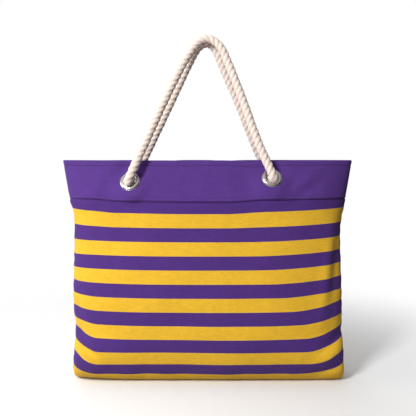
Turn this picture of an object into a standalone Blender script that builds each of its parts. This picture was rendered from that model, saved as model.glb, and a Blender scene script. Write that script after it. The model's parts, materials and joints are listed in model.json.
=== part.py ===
"""Striped canvas beach bag with a folded top band, metal grommets and two twisted-rope handles.

Metres, Z up. X runs along the bag's width and -Y is its front. The origin is the middle of the flat base,
where the bag stands. Each sub-part is one closed solid in its own object.
"""
import math

import bmesh
import bpy
from mathutils import Matrix, Vector

# Canvas shell: heights, half widths and half depths of its outer face.
RIM_HEIGHT = 0.420
BAND_BOTTOM = 0.345
BAND_OVERLAP = 0.006
WAIST_HEIGHT = 0.310
SIDE_BULGE_HEIGHT = 0.100
BELLY_HEIGHT = 0.110

RIM_HALF_WIDTH = 0.2725
BAND_BOTTOM_HALF_WIDTH = 0.2600
WAIST_HALF_WIDTH = 0.2535
SIDE_BULGE_HALF_WIDTH = 0.2580
FOOT_HALF_WIDTH = 0.2615
CORNER_RADIUS = 0.005

RIM_HALF_DEPTH = 0.030
BAND_BOTTOM_HALF_DEPTH = 0.058
BELLY_HALF_DEPTH = 0.076
BASE_HALF_DEPTH = 0.020
BASE_INSET = 0.0020

# Powers of the shell's section, from a rounded lens at the band to nearly a rectangle at the foot.
BAND_POWER = 2.6
BELLY_POWER = 3.2
FOOT_POWER = 8.0

CANVAS = 0.0012
GAP = 0.0003
SEAM_HALF_GAP = 0.0006
LAYER = CANVAS + GAP

# Grommets: a domed eyelet outside, a flat washer inside. Heights are along the grommet's axis.
GROMMET_PLACES = {"left": (-0.142, 0.381), "right": (0.118, 0.387)}
EYELET_HOLE_RADIUS = 0.0110
BARREL_RADIUS = 0.0120
FLANGE_RADIUS = 0.0185
FLANGE_TOP = 0.0029
WASHER_RADIUS = 0.0170
WASHER_THICKNESS = 0.0010
WASHER_GAP = 0.0004

# Rope handles and the stopper knots that hold their ends inside the bag.
ROPE_RADIUS = 0.0075
PIVOT_STAND_OFF = 0.0129
FRONT_APEX_Y = -0.0090
FRONT_HANDLE_ROUTE = (
    (-0.1118, 0.4550), (-0.0778, 0.5310), (-0.0475, 0.5920), (-0.0285, 0.6235), (-0.0150, 0.6380),
    (-0.0010, 0.6425), (0.0130, 0.6380), (0.0262, 0.6235), (0.0403, 0.5920), (0.0640, 0.5310),
    (0.0912, 0.4550),
)
BACK_HANDLE_ROUTE = (
    (-0.1110, 0.4500), (-0.0710, 0.5300), (-0.0422, 0.5880), (-0.0262, 0.6180), (-0.0142, 0.6330),
    (-0.0020, 0.6380), (0.0100, 0.6330), (0.0200, 0.6180), (0.0325, 0.5880), (0.0592, 0.5300),
    (0.0925, 0.4500),
)
ROUTE_STEPS = 3
KNOT_RADIUS = 0.0190
KNOT_LENGTH = 0.0340
KNOT_TAIL = 0.0600

# Seam bindings, folded tape over the raw edges inside.
BINDING_THICKNESS = 0.0018
SIDE_BINDING_WIDTH = 0.0090
BASE_BINDING_HEIGHT = 0.0070
BASE_BINDING_INSET = 0.0060

PANEL_COLUMNS = 20
PANEL_ROWS = 12
ROUND_STEPS = 20

PURPLE = (0.107, 0.045, 0.290, 1.0)
YELLOW = (0.860, 0.560, 0.060, 1.0)
COTTON = (0.780, 0.700, 0.620, 1.0)
NICKEL = (0.620, 0.600, 0.570, 1.0)
TAPE = (0.090, 0.040, 0.250, 1.0)


def clear_scene():
    for thing in list(bpy.data.objects):
        bpy.data.objects.remove(thing, do_unlink=True)


def new_collection(name):
    collection = bpy.data.collections.new(name)
    bpy.context.scene.collection.children.link(collection)
    return collection


def make_material(name, colour, roughness, metallic=0.0):
    material = bpy.data.materials.new(name)
    material.use_nodes = True
    shader = material.node_tree.nodes["Principled BSDF"]
    shader.inputs["Base Color"].default_value = colour
    shader.inputs["Roughness"].default_value = roughness
    shader.inputs["Metallic"].default_value = metallic
    return material


def new_object(name, mesh, collection, material):
    thing = bpy.data.objects.new(name, mesh)
    collection.objects.link(thing)
    if material is not None:
        mesh.materials.append(material)
    return thing


def ease(start, end, share):
    """A smooth step from start to end as share runs from 0 to 1."""
    return start + (end - start) * (1 - math.cos(math.pi * share)) / 2


def half_width(height):
    """Half width of the shell's outer face, narrowest at the waist under the band."""
    stations = ((0.0, FOOT_HALF_WIDTH), (SIDE_BULGE_HEIGHT, SIDE_BULGE_HALF_WIDTH),
                (WAIST_HEIGHT, WAIST_HALF_WIDTH), (BAND_BOTTOM, BAND_BOTTOM_HALF_WIDTH))
    rounding = 0.0
    if height < CORNER_RADIUS:
        rounding = CORNER_RADIUS - math.sqrt(CORNER_RADIUS ** 2 - (CORNER_RADIUS - height) ** 2)
    for (low, low_width), (high, high_width) in zip(stations, stations[1:]):
        if height <= high:
            return ease(low_width, high_width, (height - low) / (high - low)) - rounding
    share = (height - BAND_BOTTOM) / (RIM_HEIGHT - BAND_BOTTOM)
    return BAND_BOTTOM_HALF_WIDTH + share * (RIM_HALF_WIDTH - BAND_BOTTOM_HALF_WIDTH)


def half_depth(height):
    """Half depth: a rounded foot, a full belly, and a band that leans in towards the mouth."""
    if height < BELLY_HEIGHT:
        rise = math.sqrt(1 - (1 - height / BELLY_HEIGHT) ** 2)
        return BASE_HALF_DEPTH + (BELLY_HALF_DEPTH - BASE_HALF_DEPTH) * rise
    if height < BAND_BOTTOM:
        share = (height - BELLY_HEIGHT) / (BAND_BOTTOM - BELLY_HEIGHT)
        return ease(BELLY_HALF_DEPTH, BAND_BOTTOM_HALF_DEPTH, share)
    share = (height - BAND_BOTTOM) / (RIM_HEIGHT - BAND_BOTTOM)
    return BAND_BOTTOM_HALF_DEPTH + share * (RIM_HALF_DEPTH - BAND_BOTTOM_HALF_DEPTH)


def section_power(height):
    if height < BELLY_HEIGHT:
        return ease(FOOT_POWER, BELLY_POWER, height / BELLY_HEIGHT)
    share = (min(height, BAND_BOTTOM) - BELLY_HEIGHT) / (BAND_BOTTOM - BELLY_HEIGHT)
    return ease(BELLY_POWER, BAND_POWER, share)


def section_point(angle, height):
    """Shares of the half width and half depth; angle 0 is the right side seam, 90 degrees the front middle."""
    across = math.copysign(abs(math.cos(angle)) ** (2 / BAND_POWER), math.cos(angle))
    power = section_power(height)
    out = max(1 - abs(across) ** power, 0.0) ** (1 / power)
    return across, out


def shell_point(angle, height):
    across, out = section_point(angle, height)
    return Vector((half_width(height) * across, -max(half_depth(height) * out, SEAM_HALF_GAP), height))


def shell_normal(angle, height):
    """Outward unit normal of the front half of the shell."""
    step = 0.0005
    height = min(max(height, step), RIM_HEIGHT)
    angle = min(max(angle, 2 * step), math.pi - 2 * step)
    along = shell_point(angle + step, height) - shell_point(angle - step, height)
    up = shell_point(angle, height + step) - shell_point(angle, height - step)
    return up.cross(along).normalized()


def layer_point(angle, height, offset):
    """A point that stands off the shell by offset; at the side seams it stays in the seam's plane."""
    normal = shell_normal(angle, height)
    if min(angle, math.pi - angle) < 1e-6:
        normal = Vector((math.copysign(1.0, math.cos(angle)), 0.0, 0.0))
    return shell_point(angle, height) + normal * offset


def add_modifier(thing, name, kind, **settings):
    modifier = thing.modifiers.new(name, kind)
    for key, value in settings.items():
        setattr(modifier, key, value)
    return modifier


def shaped_grid(name, columns, rows, place, collection, material):
    """A grid whose vertices are put where place(across, up) says, both running from 0 to 1."""
    shape = bmesh.new()
    bmesh.ops.create_grid(shape, x_segments=columns, y_segments=rows, size=1.0)
    for vertex in shape.verts:
        vertex.co = place((vertex.co.x + 1) / 2, (vertex.co.y + 1) / 2)
    mesh = bpy.data.meshes.new(name)
    shape.to_mesh(mesh)
    shape.free()
    return new_object(name, mesh, collection, material)


def mirrored_to_back(thing):
    """Turn a front piece into its back twin: reflect it in Y and put its faces outward again."""
    thing.data.transform(Matrix.Scale(-1, 4, Vector((0, 1, 0))))
    thing.data.flip_normals()


def make_panel(name, front, collection, material):
    """Striped canvas from the edge of the base, round the belly, to just under the band."""
    tucked = 1 / PANEL_ROWS

    def place(across, up):
        if up < 0.5:
            height = BELLY_HEIGHT * (1 - math.cos(math.pi * up))
        elif up < 1 - tucked / 2:
            height = BELLY_HEIGHT + (BAND_BOTTOM - BELLY_HEIGHT) * (up - 0.5) / (0.5 - tucked)
        else:
            height = BAND_BOTTOM + BAND_OVERLAP
        return shell_point(math.pi * (1 - across), height)

    panel = shaped_grid(name, PANEL_COLUMNS, PANEL_ROWS, place, collection, material)
    if not front:
        mirrored_to_back(panel)
    add_modifier(panel, "Canvas", "SOLIDIFY", thickness=CANVAS, offset=-1.0)
    return panel


def band_profile(share):
    """Height and stand-off along the folded band: up the outside, over the rim, down the inside."""
    outside = LAYER
    inside = -LAYER - CANVAS
    fold_radius = (outside - inside) / 2
    fold_height = RIM_HEIGHT - fold_radius
    outer_share, inner_share = 0.4, 0.6
    if share <= outer_share:
        return BAND_BOTTOM + (fold_height - BAND_BOTTOM) * share / outer_share, outside
    if share >= inner_share:
        return fold_height + (BAND_BOTTOM - fold_height) * (share - inner_share) / (1 - inner_share), inside
    turn = math.pi * (share - outer_share) / (inner_share - outer_share)
    centre = (outside + inside) / 2
    return fold_height + fold_radius * math.sin(turn), centre + fold_radius * math.cos(turn)


def make_band(name, front, cutters, collection, material):
    """One canvas strip folded over the rim, with the grommet holes cut through both layers."""
    rows = 15

    def place(across, up):
        height, offset = band_profile(up)
        return layer_point(math.pi * (1 - across), height, offset)

    band = shaped_grid(name, PANEL_COLUMNS, rows, place, collection, material)
    if not front:
        mirrored_to_back(band)
    add_modifier(band, "Canvas", "SOLIDIFY", thickness=CANVAS, offset=-1.0)
    for side in GROMMET_PLACES:
        cutter = make_hole_cutter(f"{name}_{side}_hole", grommet_frame(side, front), cutters)
        add_modifier(band, f"Hole {side}", "BOOLEAN", operation="DIFFERENCE", object=cutter)
    return band


def grommet_frame(side, front):
    """Matrix whose origin is the hole's centre on the band's face and whose Z points out of the bag."""
    x, height = GROMMET_PLACES[side]
    share = abs(x) / half_width(height)
    angle = math.acos(math.copysign(share ** (BAND_POWER / 2), x))
    out = shell_normal(angle, height)
    centre = shell_point(angle, height) + out * LAYER
    if not front:
        out.y = -out.y
        centre.y = -centre.y
    across = Vector((1, 0, 0))
    across = (across - out * across.dot(out)).normalized()
    up = out.cross(across)
    turn = Matrix((across, up, out)).transposed().to_4x4()
    return Matrix.Translation(centre) @ turn


def make_hole_cutter(name, frame, collection):
    mesh = bpy.data.meshes.new(name)
    shape = bmesh.new()
    radius = BARREL_RADIUS + GAP
    bmesh.ops.create_cone(shape, cap_ends=True, segments=ROUND_STEPS, radius1=radius, radius2=radius, depth=0.030)
    shape.to_mesh(mesh)
    shape.free()
    cutter = new_object(name, mesh, collection, None)
    cutter.matrix_world = frame
    cutter.hide_render = True
    cutter.display_type = "WIRE"
    return cutter


def turned_piece(name, profile, closed, steps, frame, collection, material):
    """Spin a profile of (radius, height) points, which runs down its outer side, about the frame's Z."""
    mesh = bpy.data.meshes.new(name)
    shape = bmesh.new()
    points = [shape.verts.new((radius, 0.0, height)) for radius, height in profile]
    for first, second in zip(points, points[1:]):
        shape.edges.new((first, second))
    if closed:
        shape.edges.new((points[-1], points[0]))
    shape.to_mesh(mesh)
    shape.free()
    piece = new_object(name, mesh, collection, material)
    piece.matrix_world = frame
    add_modifier(piece, "Turn", "SCREW", steps=steps, render_steps=steps, use_merge_vertices=True,
                 merge_threshold=0.00001)
    return piece


def eyelet_profile():
    """Domed flange outside, barrel through the canvas, and the edge rolled out over the washer."""
    roll_top = -(2 * LAYER + CANVAS + 2 * WASHER_GAP + WASHER_THICKNESS)
    roll_bottom = roll_top - 0.0010
    return (
        (0.0148, FLANGE_TOP), (0.0174, FLANGE_TOP - 0.0009), (FLANGE_RADIUS, 0.0010),
        (FLANGE_RADIUS - 0.0003, GAP), (BARREL_RADIUS, GAP), (BARREL_RADIUS, roll_top),
        (0.0145, roll_top), (0.0143, roll_bottom), (BARREL_RADIUS, roll_bottom),
        (EYELET_HOLE_RADIUS, roll_top), (EYELET_HOLE_RADIUS, 0.0010), (0.0122, FLANGE_TOP - 0.0005),
    )


def washer_profile():
    top = -(2 * LAYER + CANVAS + WASHER_GAP)
    bottom = top - WASHER_THICKNESS
    inner = BARREL_RADIUS + GAP
    return ((WASHER_RADIUS, top), (WASHER_RADIUS, bottom), (inner, bottom), (inner, top))


def knot_start():
    """Height of the knot's top along the grommet's axis, just clear of the rolled edge."""
    return -(2 * LAYER + CANVAS + 2 * WASHER_GAP + WASHER_THICKNESS + 0.0010 + GAP)


def knot_profile():
    """The rope through the barrel and the knot's swollen body behind it."""
    top = knot_start()
    stub_end = PIVOT_STAND_OFF - ROPE_RADIUS - GAP
    profile = [(0.0, stub_end), (ROPE_RADIUS, stub_end), (ROPE_RADIUS, top)]
    bulges = 7
    for step in range(1, bulges):
        turn = math.pi * step / bulges
        profile.append((KNOT_RADIUS * math.sin(turn) ** 0.7, top - KNOT_LENGTH * (1 - math.cos(turn)) / 2))
    profile.append((0.0, top - KNOT_LENGTH))
    return profile


def make_knot(name, frame, cutters, collection, material):
    """Stopper knot with its rope tail hanging down inside the bag."""
    knot = turned_piece(name, knot_profile(), False, 12, frame, collection, material)
    centre = frame @ Vector((0, 0, knot_start() - KNOT_LENGTH / 2))
    mesh = bpy.data.meshes.new(f"{name}_tail")
    shape = bmesh.new()
    bmesh.ops.create_cone(shape, cap_ends=True, segments=10, radius1=ROPE_RADIUS, radius2=ROPE_RADIUS,
                          depth=KNOT_TAIL)
    shape.to_mesh(mesh)
    shape.free()
    tail = new_object(f"{name}_tail", mesh, cutters, None)
    tail.location = centre - Vector((0, 0, KNOT_TAIL / 2))
    tail.hide_render = True
    tail.display_type = "WIRE"
    add_modifier(knot, "Tail", "BOOLEAN", operation="UNION", object=tail)
    return knot


def pivot_point(side, front):
    return grommet_frame(side, front) @ Vector((0, 0, PIVOT_STAND_OFF))


def smooth_route(points, steps):
    """Points on a smooth curve through the given ones, steps to each stretch."""
    ends = [points[0] * 2 - points[1]] + points + [points[-1] * 2 - points[-2]]
    route = []
    for before, start, end, after in zip(ends, ends[1:], ends[2:], ends[3:]):
        for step in range(steps):
            t = step / steps
            route.append(0.5 * (2 * start + (end - before) * t
                                + (2 * before - 5 * start + 4 * end - after) * t ** 2
                                + (3 * start - before - 3 * end + after) * t ** 3))
    route.append(points[-1])
    return route


def handle_points(front):
    """Centre line of a handle from its left pivot, over the apex, to its right pivot."""
    start = pivot_point("left", front)
    end = pivot_point("right", front)
    route = FRONT_HANDLE_ROUTE if front else BACK_HANDLE_ROUTE
    apex_y = FRONT_APEX_Y if front else -FRONT_APEX_Y
    apex_height = max(height for _, height in route)
    points = [start]
    for x, height in route:
        share = (height - start.z) / (apex_height - start.z)
        points.append(Vector((x, start.y + (apex_y - start.y) * share, height)))
    points.append(end)
    return points


def make_handle(name, front, collection, material):
    """Rope handle as a round tube. Its parent empty lies on the hinge axis at the left pivot."""
    start = pivot_point("left", front)
    curve = bpy.data.curves.new(name, "CURVE")
    curve.dimensions = "3D"
    curve.bevel_depth = ROPE_RADIUS
    curve.bevel_resolution = 2
    curve.use_fill_caps = True
    route = smooth_route(handle_points(front), ROUTE_STEPS)
    spline = curve.splines.new("POLY")
    spline.points.add(len(route) - 1)
    for point, place in zip(spline.points, route):
        point.co = (*(place - start), 1.0)
    rope = new_object(name, curve, collection, material)
    hinge = bpy.data.objects.new(f"{name}_hinge", None)
    collection.objects.link(hinge)
    hinge.location = start
    rope.parent = hinge
    return rope


def make_base(collection, material):
    """Flat plain panel that the bag stands on, inside the lower edge of the wall."""
    curve = bpy.data.curves.new("base_panel", "CURVE")
    curve.dimensions = "2D"
    curve.fill_mode = "BOTH"
    curve.extrude = CANVAS / 2
    corners = 2 * PANEL_COLUMNS
    spline = curve.splines.new("POLY")
    spline.points.add(corners - 1)
    for index, point in enumerate(spline.points):
        x, y = base_outline(2 * math.pi * index / corners, BASE_INSET)
        point.co = (x, y, 0.0, 1.0)
    spline.use_cyclic_u = True
    base = new_object("base_panel", curve, collection, material)
    base.location.z = CANVAS / 2
    return base


def base_outline(angle, inset):
    across, out = section_point(angle, 0.0)
    return (half_width(0.0) - inset) * across, math.copysign((BASE_HALF_DEPTH - inset) * out, math.sin(angle))


def make_base_binding(collection, material):
    """Tape over the seam between wall and base: a low ring that stands on the base inside the wall."""
    low = CANVAS + GAP

    def place(across, up):
        x, y = base_outline(2 * math.pi * across, BASE_BINDING_INSET)
        return Vector((x, y, low + BASE_BINDING_HEIGHT * up))

    ring = shaped_grid("base_seam_binding", 2 * PANEL_COLUMNS, 1, place, collection, material)
    shape = bmesh.new()
    shape.from_mesh(ring.data)
    bmesh.ops.remove_doubles(shape, verts=shape.verts, dist=0.00001)
    shape.to_mesh(ring.data)
    shape.free()
    add_modifier(ring, "Tape", "SOLIDIFY", thickness=BINDING_THICKNESS, offset=-1.0)
    return ring


def make_side_binding(name, direction, collection, material):
    """Tape over the side seam's raw edges, a narrow strip that stands inward in the seam's plane."""
    low = 2 * CORNER_RADIUS
    high = BAND_BOTTOM - BAND_OVERLAP

    def place(across, up):
        height = low + (high - low) * up
        outer = half_width(height) - CANVAS - 2 * GAP
        return Vector((direction * (outer - SIDE_BINDING_WIDTH * across), 0.0, height))

    strip = shaped_grid(name, 1, 8, place, collection, material)
    add_modifier(strip, "Tape", "SOLIDIFY", thickness=BINDING_THICKNESS, offset=0.0)
    return strip


def build_bag():
    clear_scene()
    bag = new_collection("beach_bag")
    cutters = new_collection("cutters")
    striped = make_material("striped_canvas", YELLOW, 0.85)
    purple = make_material("purple_canvas", PURPLE, 0.85)
    nickel = make_material("nickel", NICKEL, 0.25, 1.0)
    cotton = make_material("cotton_rope", COTTON, 0.90)
    tape = make_material("binding_tape", TAPE, 0.85)

    make_base(bag, purple)
    make_base_binding(bag, tape)
    make_side_binding("left_seam_binding", -1, bag, tape)
    make_side_binding("right_seam_binding", 1, bag, tape)
    for face in ("front", "back"):
        front = face == "front"
        make_panel(f"{face}_panel", front, bag, striped)
        make_band(f"{face}_band", front, cutters, bag, purple)
        for side in GROMMET_PLACES:
            frame = grommet_frame(side, front)
            turned_piece(f"{face}_{side}_grommet", eyelet_profile(), True, ROUND_STEPS, frame, bag, nickel)
            turned_piece(f"{face}_{side}_washer", washer_profile(), True, ROUND_STEPS, frame, bag, nickel)
            make_knot(f"{face}_{side}_knot", frame, cutters, bag, cotton)
        make_handle(f"{face}_handle_rope", front, bag, cotton)


build_bag()
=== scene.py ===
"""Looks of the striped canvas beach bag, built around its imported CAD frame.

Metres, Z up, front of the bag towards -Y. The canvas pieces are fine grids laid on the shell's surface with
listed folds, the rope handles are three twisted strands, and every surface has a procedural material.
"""
import json
import math

import bmesh
import bpy
import numpy as np
from mathutils import Matrix, Vector


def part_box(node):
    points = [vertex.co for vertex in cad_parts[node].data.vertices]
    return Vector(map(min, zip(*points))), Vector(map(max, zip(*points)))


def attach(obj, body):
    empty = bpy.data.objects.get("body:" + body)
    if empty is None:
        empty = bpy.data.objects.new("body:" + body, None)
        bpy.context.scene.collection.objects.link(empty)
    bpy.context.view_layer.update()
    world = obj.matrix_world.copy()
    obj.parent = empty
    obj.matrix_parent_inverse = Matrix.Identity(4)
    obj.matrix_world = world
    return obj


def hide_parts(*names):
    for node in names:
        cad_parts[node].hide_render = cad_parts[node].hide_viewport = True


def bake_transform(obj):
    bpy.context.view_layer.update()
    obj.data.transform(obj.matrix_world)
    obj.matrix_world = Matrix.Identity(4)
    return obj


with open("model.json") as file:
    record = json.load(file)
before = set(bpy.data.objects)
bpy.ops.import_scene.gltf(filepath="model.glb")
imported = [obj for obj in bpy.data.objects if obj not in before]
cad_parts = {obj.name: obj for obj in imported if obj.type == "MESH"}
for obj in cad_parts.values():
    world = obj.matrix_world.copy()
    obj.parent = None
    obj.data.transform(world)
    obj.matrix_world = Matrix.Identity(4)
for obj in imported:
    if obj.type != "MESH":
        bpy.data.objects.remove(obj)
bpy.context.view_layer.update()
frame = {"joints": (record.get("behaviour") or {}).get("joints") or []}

# -------- sizes, from the frame where it has them
band_low, band_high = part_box("front_band")
panel_low, panel_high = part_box("front_panel")
_, base_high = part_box("base_panel")

CANVAS = 0.0012
GAP = 0.0003
LAYER = CANVAS + GAP
SEAM_HALF_GAP = 0.00003
TAPE = 0.0016

RIM_HEIGHT = band_high.z
BAND_BOTTOM = band_low.z
BAND_OVERLAP = 0.006
WAIST_HEIGHT = 0.310
SIDE_BULGE_HEIGHT = 0.100
BELLY_HEIGHT = 0.110

RIM_HALF_WIDTH = band_high.x - LAYER
BAND_BOTTOM_HALF_WIDTH = 0.2600
WAIST_HALF_WIDTH = 0.2535
SIDE_BULGE_HALF_WIDTH = 0.2580
FOOT_HALF_WIDTH = panel_high.x
CORNER_RADIUS = 0.003

RIM_HALF_DEPTH = 0.030
BAND_BOTTOM_HALF_DEPTH = 0.058
BELLY_HALF_DEPTH = -panel_low.y
BASE_HALF_DEPTH = 0.020
BASE_TUCK = 0.0018

# Powers of the shell's section, from a rounded lens at the band to nearly a rectangle at the foot.
BAND_POWER = 2.6
BELLY_POWER = 3.2
FOOT_POWER = 8.0

# Stripes, measured down the cloth from the band's lower edge.
STRIPE_START = 0.0220
STRIPE_WIDTH = 0.0256
LAST_BAR_MIDDLE = 12.5
RAGGEDNESS = 0.0006
EDGE_SHARPNESS = 14.0

# Grommets: (x, height) of the hole on the band, and the tilt the rope's pull gives them.
GROMMET_PLACES = {"left": (-0.142, 0.381), "right": (0.118, 0.387)}
GROMMET_TILT = math.radians(32)
FLAT_RADIUS = 0.020
PULL_RADIUS = 0.044
HOLE_RADIUS = 0.0113
BARREL_RADIUS = 0.0122
FLANGE_RADIUS = 0.0188
FLANGE_TOP = 0.0032
WASHER_RADIUS = 0.0170

# Rope handles. The route is the part's own, as (x, height) points between the two pivots.
ROPE_CROWN_RADIUS = 0.0081
ROPE_LAY = 0.033
STRAND_ROUND = 0.72
YARN_WIDTH = 0.0016
YARN_SLANT = 1.70
ROPE_STEP = 0.0017
ROPE_SIDES = 42
KNOT_SIDES = 30
ROPE_START = -0.0075
HOLE_MOUTH = 0.0015
FRONT_APEX_Y = -0.0090
FRONT_HANDLE_ROUTE = (
    (-0.1118, 0.4550), (-0.0778, 0.5310), (-0.0475, 0.5920), (-0.0285, 0.6235), (-0.0150, 0.6380),
    (-0.0010, 0.6425), (0.0130, 0.6380), (0.0262, 0.6235), (0.0403, 0.5920), (0.0640, 0.5310),
    (0.0912, 0.4550),
)
BACK_HANDLE_ROUTE = (
    (-0.1110, 0.4500), (-0.0710, 0.5300), (-0.0422, 0.5880), (-0.0262, 0.6180), (-0.0142, 0.6330),
    (-0.0020, 0.6380), (0.0100, 0.6330), (0.0200, 0.6180), (0.0325, 0.5880), (0.0592, 0.5300),
    (0.0925, 0.4500),
)
KNOT_ROPE_RADIUS = 0.0062
KNOT_TURNS = 1.75
KNOT_COIL_RADIUS = 0.0118
TAIL_LENGTH = 0.045

# Stitching.
RIM_STITCH_HEIGHT = RIM_HEIGHT - 0.0100
HEM_STITCH_HEIGHT = BAND_BOTTOM + 0.0070
HEM_STITCH_LIFT = 0.0006
STITCH_LENGTH = 0.0027
STITCH_PITCH = 0.0036
STITCH_RADIUS = 0.00030
STITCH_MARGIN = 0.0080
STITCH_SIDES = 6
# Rings of one stitch: (place along it, share of its full radius).
STITCH_RINGS = ((-0.5, 0.35), (-0.38, 0.85), (0.0, 1.0), (0.38, 0.85), (0.5, 0.35))

# Pitch of the canvas's cross rib and of its lengthwise threads.
WEFT_PITCH = 0.00125
WARP_PITCH = 0.00095

# Colours, as linear RGB.
PURPLE = (0.083, 0.029, 0.208)
STRIPE_PURPLE = (0.072, 0.024, 0.188)
YELLOW = (0.785, 0.455, 0.026)
COTTON = (0.870, 0.735, 0.655)
THREAD = (0.045, 0.018, 0.120)
NICKEL = (0.780, 0.755, 0.710)

FACES = ("front", "back")


# -------- the shell's shape
def eased(value, stations):
    """Smooth steps through (place, size) stations."""
    places = np.array([place for place, _ in stations])
    sizes = np.array([size for _, size in stations])
    index = np.clip(np.searchsorted(places, value) - 1, 0, len(places) - 2)
    share = np.clip((value - places[index]) / (places[index + 1] - places[index]), 0, 1)
    return sizes[index] + (sizes[index + 1] - sizes[index]) * (1 - np.cos(np.pi * share)) / 2


def smoothstep(share):
    return share * share * (3 - 2 * share)


def bell(distance, width):
    """A smooth bump, 1 in its middle."""
    return np.exp(-(distance / width) ** 2)


def band_share(height):
    return np.clip((height - BAND_BOTTOM) / (RIM_HEIGHT - BAND_BOTTOM), 0, 1)


def half_width(height):
    stations = ((0.0, FOOT_HALF_WIDTH), (SIDE_BULGE_HEIGHT, SIDE_BULGE_HALF_WIDTH),
                (WAIST_HEIGHT, WAIST_HALF_WIDTH), (BAND_BOTTOM, BAND_BOTTOM_HALF_WIDTH))
    below = eased(np.minimum(height, BAND_BOTTOM), stations)
    drop = np.clip(CORNER_RADIUS - height, 0, CORNER_RADIUS)
    rounding = CORNER_RADIUS - np.sqrt(CORNER_RADIUS ** 2 - drop ** 2)
    return below - rounding + band_share(height) * (RIM_HALF_WIDTH - BAND_BOTTOM_HALF_WIDTH)


def half_depth(height):
    fall = np.clip(1 - height / BELLY_HEIGHT, 0, 1)
    foot = BASE_HALF_DEPTH + (BELLY_HALF_DEPTH - BASE_HALF_DEPTH) * np.sqrt(1 - fall ** 2)
    body = eased(height, ((BELLY_HEIGHT, BELLY_HALF_DEPTH), (BAND_BOTTOM, BAND_BOTTOM_HALF_DEPTH)))
    depth = np.where(height < BELLY_HEIGHT, foot, body)
    return depth + band_share(height) * (RIM_HALF_DEPTH - BAND_BOTTOM_HALF_DEPTH)


def section_power(height):
    return eased(height, ((0.0, FOOT_POWER), (BELLY_HEIGHT, BELLY_POWER), (BAND_BOTTOM, BAND_POWER)))


def section_point(angle, height):
    """Shares of the half width and half depth, from the right side seam at angle 0 round to the left."""
    across = np.sign(np.cos(angle)) * np.abs(np.cos(angle)) ** (2 / BAND_POWER)
    power = section_power(height)
    return across, np.maximum(1 - np.abs(across) ** power, 0) ** (1 / power)


def bare_shell(angle, height):
    """Points of the smooth front shell."""
    across, out = section_point(angle, height)
    x = half_width(height) * across
    y = -np.maximum(half_depth(height) * out, SEAM_HALF_GAP)
    return np.stack([x, y, height + 0 * x], axis=-1)


def bare_normal(angle, height):
    step = 0.0005
    angle = np.clip(angle, 2 * step, math.pi - 2 * step)
    height = np.clip(height, step, RIM_HEIGHT)
    along = bare_shell(angle + step, height) - bare_shell(angle - step, height)
    up = bare_shell(angle, height + step) - bare_shell(angle, np.maximum(height - step, 0))
    normal = np.cross(up, along)
    return normal / np.linalg.norm(normal, axis=-1, keepdims=True)


def from_side(x, z):
    """Distance in from the nearer side seam."""
    return half_width(z) - np.abs(x)


GOLDEN_ANGLE = 2.399


def ripple(x, z, scale, seed):
    """Smooth, irregular waves of about unit height: five sines in directions that don't line up."""
    total = 0 * x
    for index in range(5):
        turn = seed * 1.7 + index * GOLDEN_ANGLE
        rate = scale * (0.7 + 0.23 * index)
        total = total + np.sin(rate * (x * math.cos(turn) + z * math.sin(turn)) + seed * 4.1 + index * 1.3)
    return total / 2.6


def crease(x, z, centre, slope, length, width, depth):
    """A soft straight fold: a ridge for a positive depth, a valley for a negative one."""
    dx, dz = x - centre[0], z - centre[1]
    along = dx * math.cos(slope) + dz * math.sin(slope)
    away = -dx * math.sin(slope) + dz * math.cos(slope)
    return depth * np.exp(-(away / width) ** 2 - (along / length) ** 2)


FRONT_CREASES = (
    # centre, slope, length, width, depth
    ((-0.240, 0.100), -0.75, 0.028, 0.0065, -0.0040),
    ((-0.227, 0.070), -0.54, 0.022, 0.0048, -0.0046),
    ((-0.221, 0.083), -0.58, 0.026, 0.0075, 0.0032),
    ((-0.247, 0.150), -0.95, 0.022, 0.0065, -0.0022),
    ((-0.246, 0.190), -0.90, 0.018, 0.0060, -0.0016),
    ((0.240, 0.088), 0.55, 0.038, 0.0085, -0.0048),
    ((0.236, 0.032), 0.55, 0.036, 0.0090, -0.0045),
    ((0.230, 0.060), 0.55, 0.036, 0.0100, 0.0034),
    ((0.221, 0.215), 1.45, 0.080, 0.0110, 0.0030),
    ((0.241, 0.222), 1.45, 0.075, 0.0100, -0.0034),
    ((0.170, 0.374), 0.65, 0.048, 0.0100, 0.0020),
    ((0.186, 0.362), 0.65, 0.040, 0.0090, -0.0016),
    ((-0.200, 0.372), 1.20, 0.034, 0.0120, 0.0014),
    ((-0.030, 0.380), 1.45, 0.040, 0.0160, -0.0012),
    ((0.040, 0.385), 1.65, 0.036, 0.0150, 0.0010),
)
BACK_CREASES = (
    ((-0.240, 0.088), -0.70, 0.032, 0.0085, -0.0045),
    ((-0.238, 0.062), -0.70, 0.030, 0.0090, 0.0030),
    ((0.242, 0.076), 0.60, 0.034, 0.0085, -0.0045),
    ((0.236, 0.100), 0.60, 0.034, 0.0090, 0.0028),
    ((-0.222, 0.205), 1.65, 0.070, 0.0110, 0.0026),
    ((-0.120, 0.200), 1.10, 0.080, 0.0160, 0.0016),
    ((-0.150, 0.372), -0.65, 0.045, 0.0100, 0.0018),
)

# Cloth gathered into the side seams and the foot: (height, cloth taken up above it).
LEFT_GATHER = ((0.000, 0.0100), (0.030, 0.0185), (0.060, 0.0290), (0.075, 0.0210), (0.105, 0.0200),
               (0.125, 0.0105), (0.145, 0.0065), (0.195, 0.0010), (0.240, -0.0015), (0.290, 0.0010),
               (0.330, 0.0040))
RIGHT_GATHER = ((0.000, 0.0100), (0.030, 0.0200), (0.060, 0.0300), (0.080, 0.0215), (0.105, 0.0230),
                (0.130, 0.0155), (0.160, 0.0160), (0.180, 0.0100), (0.230, 0.0080), (0.290, 0.0055),
                (0.330, 0.0050))
LEFT_GATHER_REACH = ((0.10, 0.050), (0.25, 0.060))
RIGHT_GATHER_REACH = ((0.10, 0.075), (0.25, 0.170))

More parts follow.
